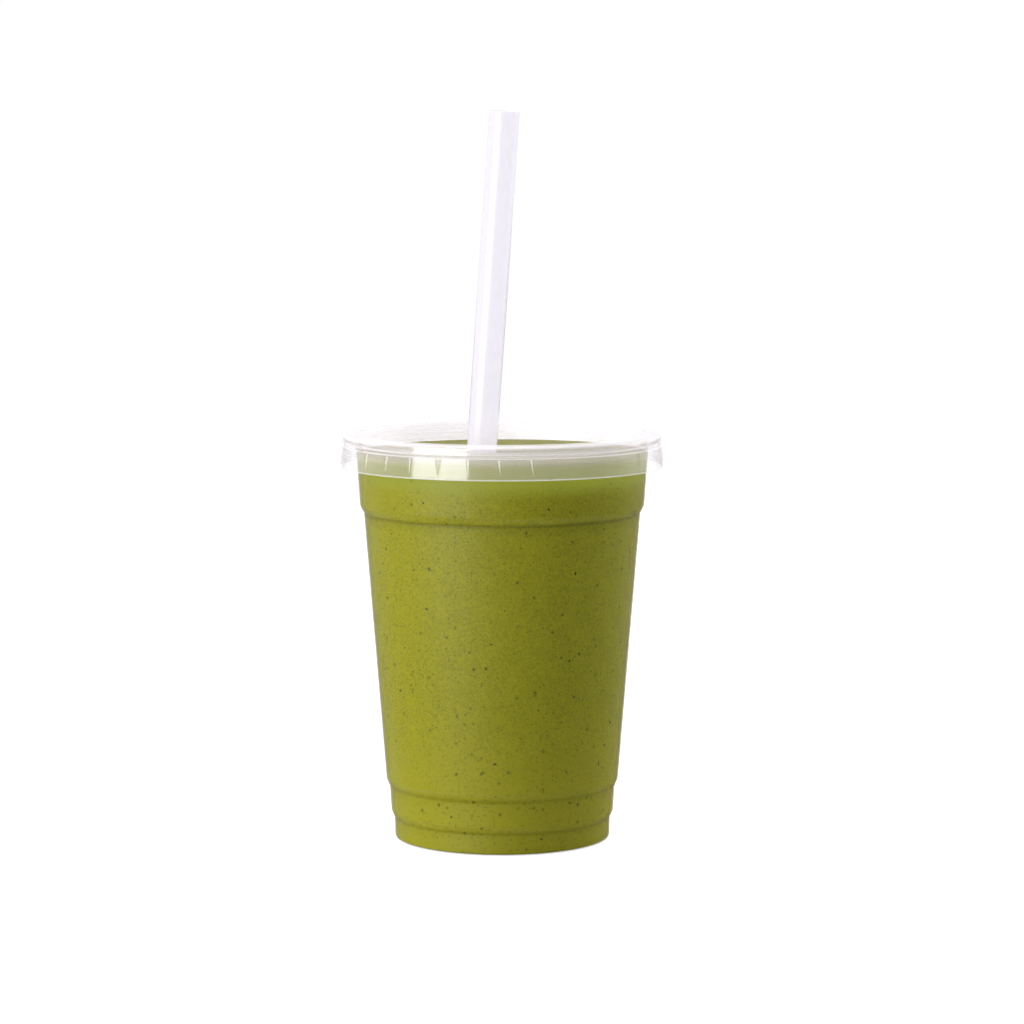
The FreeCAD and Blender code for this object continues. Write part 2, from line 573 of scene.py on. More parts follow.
@dataclass(frozen=True)
class ClearPlastic:
    """Thin clear plastic: it lets the view through, gleams, and has a slight milky haze.

    The gleam grows towards the plastic's edges, and so does the haze, where a painted
    edge reflection adds a milky veil that stands for the surround seen in the wall edge-on.
    The glow is painted light that stands for the light that gathers in the haze. Within the
    clear radius, in millimetres, the plastic is flat and nearly free of haze, and within the
    calm radius it hardly gleams.
    """

    name: str
    tint: Colour
    haze: float
    haze_colour: Colour
    roughness: float
    facing_gloss: float = 0.04
    edge_gloss: float = 0.96
    # painted reflection towards the edges
    painted_edge_reflection: float = 0.0
    glow: float = 0.0
    haze_and_highlight_bands: tuple[HazeAndHighlightBand, ...] = ()
    smudge_size: float = 0.004
    clear_radius: float = 0.0
    clear_share: float = 0.09
    calm_radius: float = 0.0
    calm_share: float = 0.12

    def material(self) -> bpy.types.Material:
        """Builds the material."""
        graph, material = Graph.of_material(self.name)
        place = graph.place()
        facing = graph.facing()
        through = graph.shader("ShaderNodeBsdfTransparent", {"Color": self.tint})
        gloss_inputs = {"Color": WHITE, "Roughness": self.roughness}
        gloss = graph.shader("ShaderNodeBsdfAnisotropic", gloss_inputs)
        haze = self.haze_share(graph, place, facing)
        gleam = self.facing_gloss + self.edge_gloss * facing**5.0
        gleam = gleam * self.outside(graph, place, self.calm_radius, self.calm_share)
        body = graph.mix_shaders(haze, through, self.veil(graph))
        graph.surface(graph.mix_shaders(gleam, body, gloss))
        return material

    def veil(self, graph: Graph) -> Value:
        """The milky part of the plastic, lit from both sides, with a painted glow added."""
        front = graph.shader("ShaderNodeBsdfDiffuse", {"Color": self.haze_colour})
        back = graph.shader("ShaderNodeBsdfTranslucent", {"Color": self.haze_colour})
        # painted glow that stands for the light gathered in the haze
        glow = graph.emission(self.haze_colour, self.glow)
        return graph.add_shaders(graph.mix_shaders(0.5, front, back), glow)

    def haze_share(self, graph: Graph, place: Value, facing: Value) -> Value:
        """The share of haze at a point.

        Args:
            graph: The material's graph.
            place: The point.
            facing: How far the surface turns from the eye.

        Returns:
            The share, from 0 to 1.
        """
        smudges = 0.96 + 0.08 * graph.noise(place, self.smudge_size)
        # painted reflection: the haze grows towards the edges, standing for the surround seen in
        # the wall edge-on
        haze = (self.haze + self.painted_edge_reflection * facing**3.0) * smudges
        height = graph.height(place)
        for band in self.haze_and_highlight_bands:
            # painted highlight bands, on the lid partly its own milkiness
            haze = haze + graph.ridge(height, band.height, band.reach) * band.haze
        return haze * self.outside(graph, place, self.clear_radius, self.clear_share)

    @staticmethod
    def outside(graph: Graph, place: Value, radius: float, share: float) -> Value:
        """A factor that is 1 past a radius from the axis and a smaller share within it.

        Args:
            graph: The material's graph.
            place: The point.
            radius: The radius, in millimetres.
            share: The factor within the radius.

        Returns:
            The factor.
        """
        past = graph.step(graph.radius(place), (radius - 0.01) * MM, radius * MM)
        return share + (1 - share) * past


@dataclass(frozen=True)
class Layer:
    """A colour of the drink between two heights in millimetres, and its share where full: the
    froth's own colour, and painted light for the band under the lid and the paler bottom.
    """

    colour: Colour
    start: float
    full: float
    share: float

    def amount(self, graph: Graph, height: Value) -> Value:
        """How far a height lies in the layer, from 0 to 1."""
        return graph.step(height, self.start * MM, self.full * MM)


@dataclass(frozen=True)
class Dots:
    """Small uneven dots in the drink.

    Their size is the space between them in metres, and their reach is a share of it. Their
    rarity is the share of them that stays out, and their share is how strongly they show.
    """

    colour: Colour
    size: float
    reach: float
    rarity: float
    share: float

    def mask(self, graph: Graph, place: Value) -> Value:
        """A mask of the dots, of mixed strength.

        Args:
            graph: The material's graph.
            place: The point.

        Returns:
            The mask, from 0 to the dots' share.
        """
        wobble = graph.add("ShaderNodeTexNoise", {}, {"Vector": place, "Scale": 1.6 / self.size})
        shift_inputs = {0: graph.out(wobble, "Color"), "Scale": 0.35 * self.size}
        shift = graph.add("ShaderNodeVectorMath", {"operation": "SCALE"}, shift_inputs)
        moved_inputs = {0: place, 1: graph.out(shift, 0)}
        moved = graph.add("ShaderNodeVectorMath", {"operation": "ADD"}, moved_inputs)
        cell_inputs = {"Vector": graph.out(moved, 0), "Scale": 1 / self.size}
        cells = graph.add("ShaderNodeTexVoronoi", {}, cell_inputs)
        near = graph.step(graph.out(cells, "Distance"), self.reach, self.reach * 0.35)
        parts = graph.add("ShaderNodeSeparateXYZ", {}, {0: graph.out(cells, "Color")})
        chance = graph.step(graph.out(parts, 0), self.rarity, 1.0)
        return near * chance * self.share


@dataclass(frozen=True)
class Nook:
    """A shaded nook of the cup's side: its height in millimetres and its depth of shade."""

    height: float
    shade: float
    reach: float = 1.1
    fade_below: float = 4.5
    fade_above: float = 0.8

    def mask(self, graph: Graph, height: Value) -> Value:
        """The shade: a narrow line, and a softer fall that reaches further down."""
        line = graph.ridge(height, self.height, self.reach)
        below = graph.step(height, (self.height - self.fade_below) * MM, self.height * MM)
        above = graph.step(height, (self.height + self.fade_above) * MM, self.height * MM)
        return (line + below * above * 0.5) * self.shade


@dataclass(frozen=True)
class BlendedGreens:
    """The smoothie: an even green with fine grain, darker specks and a pale froth, plus painted
    light under the lid, painted floor bounce low down and painted shade in the nooks.
    """

    name: str = "blended_greens"
    base: Colour = (0.231, 0.227, 0.0018)
    pale: Colour = (0.300, 0.294, 0.0045)
    grain_size: float = 0.0006
    clump_size: float = 0.005
    grain_share: float = 0.8
    # painted light: just under the lid the drink's colour is darkened and a glow is added,
    # standing for light that comes in through the lid's skirt
    painted_lid_light: Layer = Layer((0.130, 0.138, 0.004), 110.8, 117.0, 0.85)
    painted_lid_glow: Colour = (0.155, 0.175, 0.020)
    # painted light: the drink grows paler towards the bottom, standing for light bounced up from
    # the floor
    painted_bounce: Layer = Layer((0.345, 0.330, 0.010), 55.0, 2.0, 0.75)
    froth: Layer = Layer((0.40, 0.40, 0.038), 121.6, 122.3, 0.6)
    pits: Dots = Dots((0.115, 0.117, 0.001), 0.0010, 0.42, 0.15, 0.7)
    specks: Dots = Dots((0.068, 0.072, 0.001), 0.0027, 0.27, 0.60, 0.85)
    nooks: tuple[Nook, ...] = (Nook(6.9, 0.15), Nook(17.3, 0.15), Nook(103.5, 0.24))

    def material(self) -> bpy.types.Material:
        """Builds the material."""
        graph, material = Graph.of_material(self.name)
        place = graph.place()
        height = graph.height(place)
        grain = graph.noise(place, self.grain_size, 2.0)
        clumps = graph.noise(place, self.clump_size, 3.0)
        mixed = grain * self.grain_share + clumps * (1 - self.grain_share)
        colour = graph.blend(graph.step(mixed, 0.36, 0.64), self.base, self.pale)
        # painted light: how far a point lies in the painted band under the lid
        lid_light_amount = self.painted_lid_light.amount(graph, height)
        frothy = self.froth.amount(graph, height)
        colour = graph.blend(lid_light_amount * self.painted_lid_light.share, colour, self.painted_lid_light.colour)
        # painted floor bounce towards the bottom
        bounce_share = self.painted_bounce.amount(graph, height) * self.painted_bounce.share
        colour = graph.blend(bounce_share, colour, self.painted_bounce.colour)
        for dots in (self.pits, self.specks):
            colour = graph.blend(dots.mask(graph, place), colour, dots.colour)
        for nook in self.nooks:
            colour = graph.blend(nook.mask(graph, height), colour, BLACK)
        colour = graph.blend(frothy * self.froth.share, colour, self.froth.colour)
        inputs = {
            "Base Color": colour,
            # painted glow under the lid, kept off the froth
            "Emission Color": graph.blend(lid_light_amount * (1.0 - frothy), BLACK, self.painted_lid_glow),
            "Emission Strength": 1.0,
            "Roughness": 0.5,
            "Specular IOR Level": 0.04,
            "Normal": graph.bump(grain + clumps, 0.0002, 0.15),
        }
        graph.surface(graph.shader("ShaderNodeBsdfPrincipled", inputs))
        return material


@dataclass(frozen=True)
class LeafShred:
    """Dark shreds of leaf and seed skin in the drink."""

    name: str = "leaf_shred"
    dark: Colour = (0.022, 0.023, 0.001)
    green: Colour = (0.070, 0.070, 0.001)
    patch_size: float = 0.004

    def material(self) -> bpy.types.Material:
        """Builds the material."""
        graph, material = Graph.of_material(self.name)
        tone = graph.step(graph.noise(graph.place(), self.patch_size, 1.0), 0.4, 0.6)
        inputs = {
            "Base Color": graph.blend(tone, self.dark, self.green),
            "Roughness": 0.5,
            "Specular IOR Level": 0.15,
        }
        graph.surface(graph.shader("ShaderNodeBsdfPrincipled", inputs))
        return material


@dataclass(frozen=True)
class MilkyPlastic:
    """The straw's milky plastic: soft light passes through it, a painted glow brightens it, and
    its skin is glossy.
    """

    name: str = "milky_plastic"
    colour: Colour = (0.36, 0.35, 0.375)
    tint: Colour = (0.985, 0.98, 0.99)
    # painted light: the straw glows, though it is no lamp
    painted_glow_colour: Colour = (0.965, 0.935, 1.0)
    glow: float = 0.65
    clearness: float = 0.45
    passing: float = 0.55
    roughness: float = 0.22
    facing_gloss: float = 0.05
    streak_size: float = 0.006

    def material(self) -> bpy.types.Material:
        """Builds the material."""
        graph, material = Graph.of_material(self.name)
        streaks = graph.noise(graph.place(), self.streak_size, 2.0)
        front = graph.shader("ShaderNodeBsdfDiffuse", {"Color": self.colour})
        back = graph.shader("ShaderNodeBsdfTranslucent", {"Color": self.colour})
        through = graph.shader("ShaderNodeBsdfTransparent", {"Color": self.tint})
        milk = graph.mix_shaders(self.passing, front, back)
        # painted glow added to the milky part
        milk = graph.add_shaders(milk, graph.emission(self.painted_glow_colour, self.glow))
        body = graph.mix_shaders(self.clearness * (0.85 + 0.3 * streaks), milk, through)
        gloss_inputs = {
            "Color": WHITE,
            "Roughness": self.roughness,
            "Normal": graph.bump(streaks, 0.00002, 0.5),
        }
        gloss = graph.shader("ShaderNodeBsdfAnisotropic", gloss_inputs)
        gleam = self.facing_gloss + (1 - self.facing_gloss) * graph.facing() ** 5.0
        graph.surface(graph.mix_shaders(gleam, body, gloss))
        return material


# --- The cup ---------------------------------------------------------------


@dataclass
class Cup:
    """The thin clear cup: a ring foot, two steps, a long taper, a shoulder and a rolled rim."""

    wall: float = 0.6
    foot_radius: float = 34.0
    foot_inner_radius: float = 30.6
    foot_corner: float = 1.1
    foot_edge: float = 0.7
    floor_rise: float = 3.6
    floor_slope: float = 1.6
    brow: float = 2.5
    nook: float = 0.5
    lower_band: tuple[float, float] = (34.2, 6.5)
    lower_step: tuple[float, float] = (35.2, 8.8)
    middle_band: tuple[float, float] = (35.7, 16.4)
    upper_step: tuple[float, float] = (36.75, 19.0)
    shoulder: tuple[float, float] = (43.55, 103.6)
    neck: tuple[float, float] = (44.75, 105.8)
    mouth_radius: float = 46.1
    rim_height: float = 2.3
    rim_rounding: float = 0.9
    rim_inner_rounding: float = 0.6
    steps: int = 192
    rim_radius: float = field(init=False)
    top: float = field(init=False)

    def __post_init__(self) -> None:
        """Takes the rim's width and height from the frame."""
        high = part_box(Node.CUP.value)[1]
        self.rim_radius = high.x / MM
        self.top = high.z / MM

    def foot_corners(self, inset: float) -> list[Corner]:
        """The foot's outline, a distance inside the cup's outer skin."""
        return [
            Corner(0.0, self.floor_rise + inset),
            Corner(
                self.foot_inner_radius - self.floor_slope + inset,
                self.floor_rise + inset,
                self.foot_edge,
            ),
            Corner(self.foot_inner_radius + inset, inset, self.foot_edge),
            Corner(self.foot_radius - inset, inset, self.foot_corner - inset),
        ]

    def side_corners(self, inset: float) -> list[Corner]:
        """The side's outline from the foot to below the rim, a distance inside the skin."""
        corners = [
            Corner(*self.lower_band, self.nook),
            Corner(*self.lower_step, self.brow),
            Corner(*self.middle_band, self.nook),
            Corner(*self.upper_step, self.brow),
            Corner(*self.shoulder, self.nook),
            Corner(*self.neck, self.brow),
        ]
        return [corner.moved(-inset) for corner in corners]

    def neck_radius_at(self, height: float) -> float:
        """The neck's outer radius at a height above the shoulder."""
        rim_bottom = self.top - self.rim_height
        share = (height - self.neck[1]) / (rim_bottom - self.neck[1])
        return self.neck[0] + (self.mouth_radius - self.neck[0]) * share

    def build(self) -> bpy.types.Object:
        """Builds the cup's shell."""
        rim_bottom = self.top - self.rim_height
        rim = [
            Corner(self.mouth_radius, rim_bottom, 0.25),
            Corner(self.rim_radius, rim_bottom, self.rim_rounding),
            Corner(self.rim_radius, self.top, self.rim_rounding),
            Corner(self.mouth_radius - self.wall, self.top, self.rim_inner_rounding),
        ]
        outside = self.foot_corners(0.0) + self.side_corners(0.0)
        inside = self.foot_corners(self.wall) + self.side_corners(self.wall)
        outline = rounded(outside + rim + inside[::-1], step=10.0)
        piece = Bench.lathe("cup_shell", outline, self.steps)
        Bench.smooth(piece, 30.0)
        return piece


# --- The drink -------------------------------------------------------------


@dataclass
class Drink:
    """The smoothie up to just under the lid, with its frothy top, bubbles and shreds."""

    cup: Cup
    reach_into_wall: float = 0.3
    froth_relief: float = 0.35
    froth_grain: float = 2.6
    surface_drop: float = 0.12
    meniscus: float = 1.2
    rings: int = 70
    steps: int = 240
    shred_count: int = 180
    shred_thickness: float = 0.16
    bubble_count: int = 170
    bubble_spread: float = 0.55
    bubble_crowding: float = 0.6
    bubble_flatness: float = 0.42
    bubble_sink: float = 0.08
    wall_gap: float = 1.6
    seed: int = 11
    level: float = field(init=False)
    outline: list[Vector] = field(init=False)

    def __post_init__(self) -> None:
        """Takes the level from the frame and draws the side's outline."""
        self.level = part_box(Node.SMOOTHIE.value)[1].z / MM
        inset = self.reach_into_wall
        side = self.cup.foot_corners(inset) + self.cup.side_corners(inset)
        top_radius = self.cup.neck_radius_at(self.level) - inset
        self.outline = rounded(side + [Corner(top_radius, self.level)], step=12.0)

    def surface_points(self) -> list[Vector]:
        """The drink's top from its wall to the axis, a little lower past the meniscus."""
        edge = self.outline[-1].x / MM
        points = []
        for number in range(1, self.rings + 1):
            radius = edge * (1 - number / self.rings)
            fall = self.surface_drop * (1 - math.exp((radius - edge) / self.meniscus))
            points.append(Vector((radius, 0.0, self.level - fall)) * MM)
        return points

    def build_body(self) -> bpy.types.Object:
        """Builds the drink as one closed body with a relief on its top."""
        piece = Bench.lathe("smoothie_body", self.outline + self.surface_points(), self.steps)
        top = piece.vertex_groups.new(name="top")
        lowest = (self.level - self.surface_drop - 0.05) * MM
        edge = self.outline[-1].x - 0.4 * MM
        for vertex in piece.data.vertices:
            if vertex.co.z > lowest and vertex.co.xy.length < edge:
                top.add([vertex.index], 1.0, "REPLACE")
        clouds = bpy.data.textures.new("froth", "CLOUDS")
        clouds.noise_scale = self.froth_grain * MM
        clouds.noise_depth = 3
        Bench.apply(
            piece,
            "DISPLACE",
            texture=clouds,
            texture_coords="LOCAL",
            direction="Z",
            strength=self.froth_relief * MM,
            mid_level=0.65,
            vertex_group="top",
        )
        Bench.smooth(piece, 40.0)
        return piece

    def radius_at(self, height: float) -> float:
        """The drink's radius at a height, both in metres."""
        for below, above in zip(self.outline, self.outline[1:]):
            if below.z <= height <= above.z and above.z > below.z:
                share = (height - below.z) / (above.z - below.z)
                return below.x + (above.x - below.x) * share
        return self.outline[-1].x

    def lean_at(self, height: float) -> float:
        """How far the drink's side leans outwards at a height in metres, in radians."""
        reach = 0.2 * MM
        wider = self.radius_at(height + reach) - self.radius_at(height - reach)
        return math.atan(wider / (2 * reach))

    def shred_model(self, name: str, sides: int, length: float, width: float) -> bpy.types.Object:
        """One flat shred, lying in the plane of X and Y.

        Args:
            name: The model's name.
            sides: The number of sides of its outline.
            length: Its length in millimetres.
            width: Its width in millimetres.

        Returns:
            The model.
        """
        Bench.clear()
        bpy.ops.mesh.primitive_cylinder_add(
            vertices=sides,
            radius=0.5 * MM,
            depth=self.shred_thickness * MM,
            end_fill_type="NGON",
        )
        piece = Bench.adopt(name)
        Bench.edit()
        bpy.ops.mesh.select_all(action="SELECT")
        bpy.ops.transform.resize(value=(length, width, 1.0), center_override=(0, 0, 0))
        Bench.pick(lambda place: place.x > 0.25 * length * MM and place.y > 0)
        bpy.ops.transform.translate(value=(0.0, -0.14 * width * MM, 0.0))
        Bench.pick(lambda place: place.z > 0)
        bpy.ops.transform.resize(value=(0.72, 0.72, 1.0), center_override=(0, 0, 0))
        Bench.close()
        return piece

    def build_shreds(self) -> bpy.types.Object:
        """Builds the dark shreds that lie against the cup's wall."""
        draw = random.Random(self.seed)
        models = [
            self.shred_model("shred_dot", 8, 0.62, 0.52),
            self.shred_model("shred_chip", 7, 0.85, 0.5),
            self.shred_model("shred_sliver", 8, 1.25, 0.3),
        ]
        places = []
        top = self.level * MM
        for _ in range(self.shred_count):
            height = draw.uniform(1.5 * MM, top - 1.0 * MM)
            around = draw.uniform(0, FULL_TURN)
            model = draw.choices([0, 1, 2], weights=[5, 3, 1.4])[0]
            size = draw.triangular(0.6, 1.9, 0.95)
            place = (
                Matrix.Rotation(around, 4, "Z")
                @ Matrix.Translation((self.radius_at(height), 0, height))
                @ Matrix.Rotation(math.radians(90) + self.lean_at(height), 4, "Y")
                @ Matrix.Rotation(draw.uniform(0, FULL_TURN), 4, "Z")
                @ Matrix.Diagonal((size, size, 1, 1))
            )
            places.append((model, place))
        piece = Bench.scatter("leaf_shreds", models, places)
        Bench.smooth(piece, 30.0)
        return piece

    def bubble_radius(self, draw: random.Random, edge: float) -> float:
        """Draws a bubble's distance from the axis, often close to the wall.

        Args:
            draw: The source of chance.
            edge: The largest distance, in millimetres.

        Returns:
            The distance, in millimetres.
        """
        if draw.random() < self.bubble_spread:
            return edge * math.sqrt(draw.random())
        return edge - draw.expovariate(self.bubble_crowding)

    def build_bubbles(self) -> bpy.types.Object:
        """Builds the low bubbles on the froth, more of them by the wall."""
        draw = random.Random(self.seed + 1)
        Bench.clear()
        bpy.ops.mesh.primitive_uv_sphere_add(segments=14, ring_count=8, radius=1.0 * MM)
        model = Bench.adopt("bubble_model")
        Bench.edit()
        bpy.ops.mesh.select_all(action="SELECT")
        bpy.ops.transform.resize(value=(1.0, 1.0, self.bubble_flatness), center_override=(0, 0, 0))
        bpy.ops.mesh.select_all(action="SELECT")
        bpy.ops.mesh.bisect(
            plane_co=(0, 0, -self.bubble_sink * MM),
            plane_no=(0, 0, 1),
            use_fill=True,
            clear_inner=True,
        )
        Bench.close()
        edge = self.outline[-1].x / MM - self.wall_gap
        places = []
        for _ in range(self.bubble_count):
            radius = self.bubble_radius(draw, edge)
            around = draw.uniform(0, FULL_TURN)
            size = draw.triangular(0.18, 0.7, 0.3)
            spot = (radius * math.cos(around) * MM, radius * math.sin(around) * MM)
            place = Matrix.Translation((*spot, (self.level - self.bubble_sink) * MM))
            places.append((0, place @ Matrix.Scale(size, 4)))
        piece = Bench.scatter("froth_bubbles", [model], places)
        Bench.smooth(piece, 50.0)
        return piece


# --- The lid ---------------------------------------------------------------


@dataclass
class Lid:
    """The clear lid: a sunk panel, a rounded ring, a catch groove and a ribbed skirt."""

    wall: float = 0.45
    recess_depth: float = 5.4
    ring_inner_radius: float = 44.1
    ring_outer_radius: float = 50.15
    ring_outer_rounding: float = 1.4
    ring_inner_rounding: float = 1.0
    recess_slope: float = 0.9
    panel_corner: float = 0.8
    panel_margin: float = 2.0
    waist_drop: float = 2.1
    waist_depth: float = 0.12
    catch_drop: float = 3.35
    catch_depth: float = 0.6
    catch_height: float = 0.6
    skirt_step: float = 0.05
    skirt_flare: float = 0.6
    skirt_height: float = 6.6
    hem_height: float = 0.8
    hem_out: float = 0.12
    rib_count: int = 32
    rib_columns: int = 12
    rib_half_columns: int = 2
    row_reach: float = 0.02
    skin_reach: float = 0.1
    rib_top_drop: float = 0.35
    rib_length: float = 4.5
    rib_top_width: float = 2.4
    rib_foot_width: float = 0.9
    rib_top_proud: float = 0.45
    rib_foot_proud: float = 0.165
    rib_rows: int = 9
    rib_edge: float = 0.08
    hole_gap: float = 0.3
    top: float = field(init=False)

    def __post_init__(self) -> None:
        """Takes the lid's height from the frame."""
        self.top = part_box(Node.LID.value)[1].z / MM

    @property
    def skirt_top(self) -> float:
        """The height of the skirt's top edge."""
        return self.top - self.catch_drop - self.catch_height

    @property
    def rib_top(self) -> float:
        """The height of the ribs' top."""
        return self.skirt_top - self.rib_top_drop

    def skirt_radius(self, height: float) -> float:
        """The skirt's outer radius at a height."""
        share = (self.skirt_top - height) / self.skirt_height
        return self.ring_outer_radius + self.skirt_step + self.skirt_flare * share

    def rib_heights(self) -> list[float]:
        """The heights of the rows of points that shape a rib, from its top down."""
        step = self.rib_length / self.rib_rows
        return [self.rib_top - step * number for number in range(self.rib_rows + 1)]

    def outline(self) -> list[Vector]:
        """The half section of the lid's wall, from the panel's top round to its underside."""
        top, wall = self.top, self.wall
        panel_top = top - self.recess_depth
        panel_radius = self.ring_inner_radius - self.recess_slope
        ring = self.ring_outer_radius
        catch_top = top - self.catch_drop
        catch_radius = ring - self.catch_depth
        skirt_bottom = self.skirt_top - self.skirt_height
        hem_top = skirt_bottom + self.hem_height
        skirt_foot = self.skirt_radius(hem_top)
        hem = skirt_foot + self.hem_out
        heights = [self.rib_top + self.rib_edge] + self.rib_heights()
        heights.append(heights[-1] - self.rib_edge)
        outside = [
            Corner(panel_radius - self.panel_margin, panel_top),
            Corner(panel_radius, panel_top, self.panel_corner),
            Corner(self.ring_inner_radius, top, self.ring_inner_rounding),
            Corner(ring, top, self.ring_outer_rounding),
            Corner(ring - self.waist_depth, top - self.waist_drop, 0.4),
            Corner(ring, catch_top + 0.6, 0.4),
            Corner(ring, catch_top, 0.2),
            Corner(catch_radius, catch_top - self.catch_height / 2, 0.15),
            Corner(ring + self.skirt_step, self.skirt_top, 0.15),
            *[Corner(self.skirt_radius(height), height) for height in heights],
            Corner(skirt_foot, hem_top, 0.05),
            Corner(hem, hem_top, 0.05),
            Corner(hem, skirt_bottom, 0.2),
        ]
        inside = [
            Corner(skirt_foot - wall, skirt_bottom, 0.15),
            Corner(ring + self.skirt_step - wall, self.skirt_top, 0.2),
            Corner(catch_radius - wall, catch_top - self.catch_height / 2, 0.15),
            Corner(ring - wall, catch_top, 0.2),
            Corner(ring - wall, top - wall, self.ring_outer_rounding - wall),
            Corner(self.ring_inner_radius + wall, top - wall, self.ring_inner_rounding - wall),
            Corner(panel_radius + wall, panel_top - wall, self.panel_corner),
            Corner(panel_radius - self.panel_margin, panel_top - wall),
        ]
        return rounded(outside + inside, step=12.0)

    def raise_rib(self) -> None:
        """Raises the rib in the middle of the open sector, row by row."""
        column = FULL_TURN / self.rib_count / self.rib_columns
        for height in self.rib_heights():
            share = (self.rib_top - height) / self.rib_length
            width = self.rib_top_width + (self.rib_foot_width - self.rib_top_width) * share
            proud = self.rib_top_proud + (self.rib_foot_proud - self.rib_top_proud) * share
            surface = self.skirt_radius(height) * MM
            squeeze = width * MM / (2 * surface * math.sin(column * self.rib_half_columns))

            def on_row(place: Vector, turn: float) -> bool:
                """Whether a point lies on this row of the outer skin, within a turn of +X."""
                near_row = abs(place.z - height * MM) < self.row_reach * MM
                outer = place.xy.length > surface - self.skin_reach * MM
                return near_row and outer and abs(math.atan2(place.y, place.x)) < turn

            Bench.pick(lambda place: on_row(place, column * (self.rib_half_columns + 0.5)))
            bpy.ops.transform.resize(
                value=(1.0, squeeze, 1.0), center_override=(0, 0, height * MM)
            )
            for reach, part in ((1, 0.75), (0, 0.25)):
                Bench.pick(lambda place: on_row(place, column * (reach + 0.5) * squeeze))
                bpy.ops.transform.translate(value=(proud * part * MM, 0, 0))

    def build(self, straw: "Straw") -> bpy.types.Object:
        """Builds the lid: one sector with its rib, repeated round, then the straw's hole.

        Args:
            straw: The straw that passes through the lid.

        Returns:
            The lid.
        """
        sector = FULL_TURN / self.rib_count
        start = Matrix.Rotation(sector / 2, 4, "Z")
        piece = Bench.draw("lid_shell", [start @ point for point in self.outline()])
        Bench.turn(self.rib_columns, sector)
        self.raise_rib()
        Bench.turn(self.rib_count - 1, FULL_TURN - sector, copies=True)
        inner = (self.ring_inner_radius - self.recess_slope - self.panel_margin) * MM
        panel_top = (self.top - self.recess_depth) * MM
        for height in (panel_top, panel_top - self.wall * MM):
            Bench.fill(
                lambda place: abs(place.xy.length - inner) < 0.05 * MM
                and abs(place.z - height) < 0.05 * MM
            )
        Bench.merge()
        Bench.close()
        Bench.clear()
        bpy.ops.mesh.primitive_cylinder_add(
            vertices=72,
            radius=(straw.radius + self.hole_gap) * MM,
            depth=2 * straw.radius * MM,
            location=straw.axis_at(panel_top),
            rotation=straw.direction().to_track_quat("Z", "Y").to_euler(),
        )
        cutter = Bench.adopt("hole_cutter")
        Bench.apply(piece, "BOOLEAN", object=cutter, operation="DIFFERENCE", solver="EXACT")
        bpy.data.objects.remove(cutter)
        Bench.smooth(piece, 18.0)
        return piece


# --- The straw -------------------------------------------------------------


@dataclass
class Straw:
    """The wide straight straw, leaning in the lid's hole."""

    radius: float = 4.75
    wall: float = 0.3
    length: float = 225.0
    lean_side: float = 3.9
    lean_front: float = 1.5
    edge_rounding: float = 0.12
    steps: int = 72

    def direction(self) -> Vector:
        """The way the straw points, up and out of the lid."""
        sideways = math.tan(math.radians(self.lean_side))
        frontways = math.tan(math.radians(self.lean_front))
        return Vector((sideways, -frontways, 1.0)).normalized()

    def middle(self) -> Vector:
        """The middle of the straw's axis, which is the middle of its box."""
        low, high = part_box(Node.STRAW.value)
        return (low + high) / 2

    def axis_at(self, height: float) -> Vector:
        """The point of the straw's axis at a height, in metres."""
        way = self.direction()
        middle = self.middle()
        return middle + way * ((height - middle.z) / way.z)

    def build(self) -> bpy.types.Object:
        """Builds the straw's tube and leans it."""
        half = self.length / 2
        inner = self.radius - self.wall
        outline = rounded(
            [
                Corner(inner, 0.0),
                Corner(inner, -half, self.edge_rounding),
                Corner(self.radius, -half, self.edge_rounding),
                Corner(self.radius, half, self.edge_rounding),
                Corner(inner, half, self.edge_rounding),
                Corner(inner, 0.0),
            ],
            step=30.0,
        )
        piece = Bench.lathe("straw_tube", outline, self.steps)
        piece.rotation_mode = "QUATERNION"
        piece.rotation_quaternion = UP.rotation_difference(self.direction())
        piece.location = self.middle()
        Bench.smooth(piece, 40.0)
        return piece


# --- Studio ----------------------------------------------------------------


@dataclass(frozen=True)
class Softbox:
    """A rectangular lamp that faces the cup, and shows in its gloss where it gleams."""

    name: str
    azimuth: float
    elevation: float
    distance: float
    width: float
    height: float
    radiance: float
    colour: Colour = (1.0, 1.0, 1.0)
    gleams: bool = True

    def place(self, aim: Vector) -> None:
        """Puts the lamp at its distance from a point and aims it there.

        Args:
            aim: The point that it faces, in metres.
        """
        turn, rise = math.radians(self.azimuth), math.radians(self.elevation)
        away = Vector(
            (math.sin(turn) * math.cos(rise), -math.cos(turn) * math.cos(rise), math.sin(rise))
        )
        bpy.ops.object.light_add(type="AREA", location=aim + away * self.distance)
        lamp = bpy.context.object
        lamp.name = self.name
        lamp.rotation_euler = away.to_track_quat("Z", "Y").to_euler()
        lamp.data.shape = "RECTANGLE"
        lamp.data.size = self.width
        lamp.data.size_y = self.height
        lamp.data.energy = self.radiance * math.pi * self.width * self.height
        lamp.data.color = self.colour
        lamp.visible_glossy = self.gleams


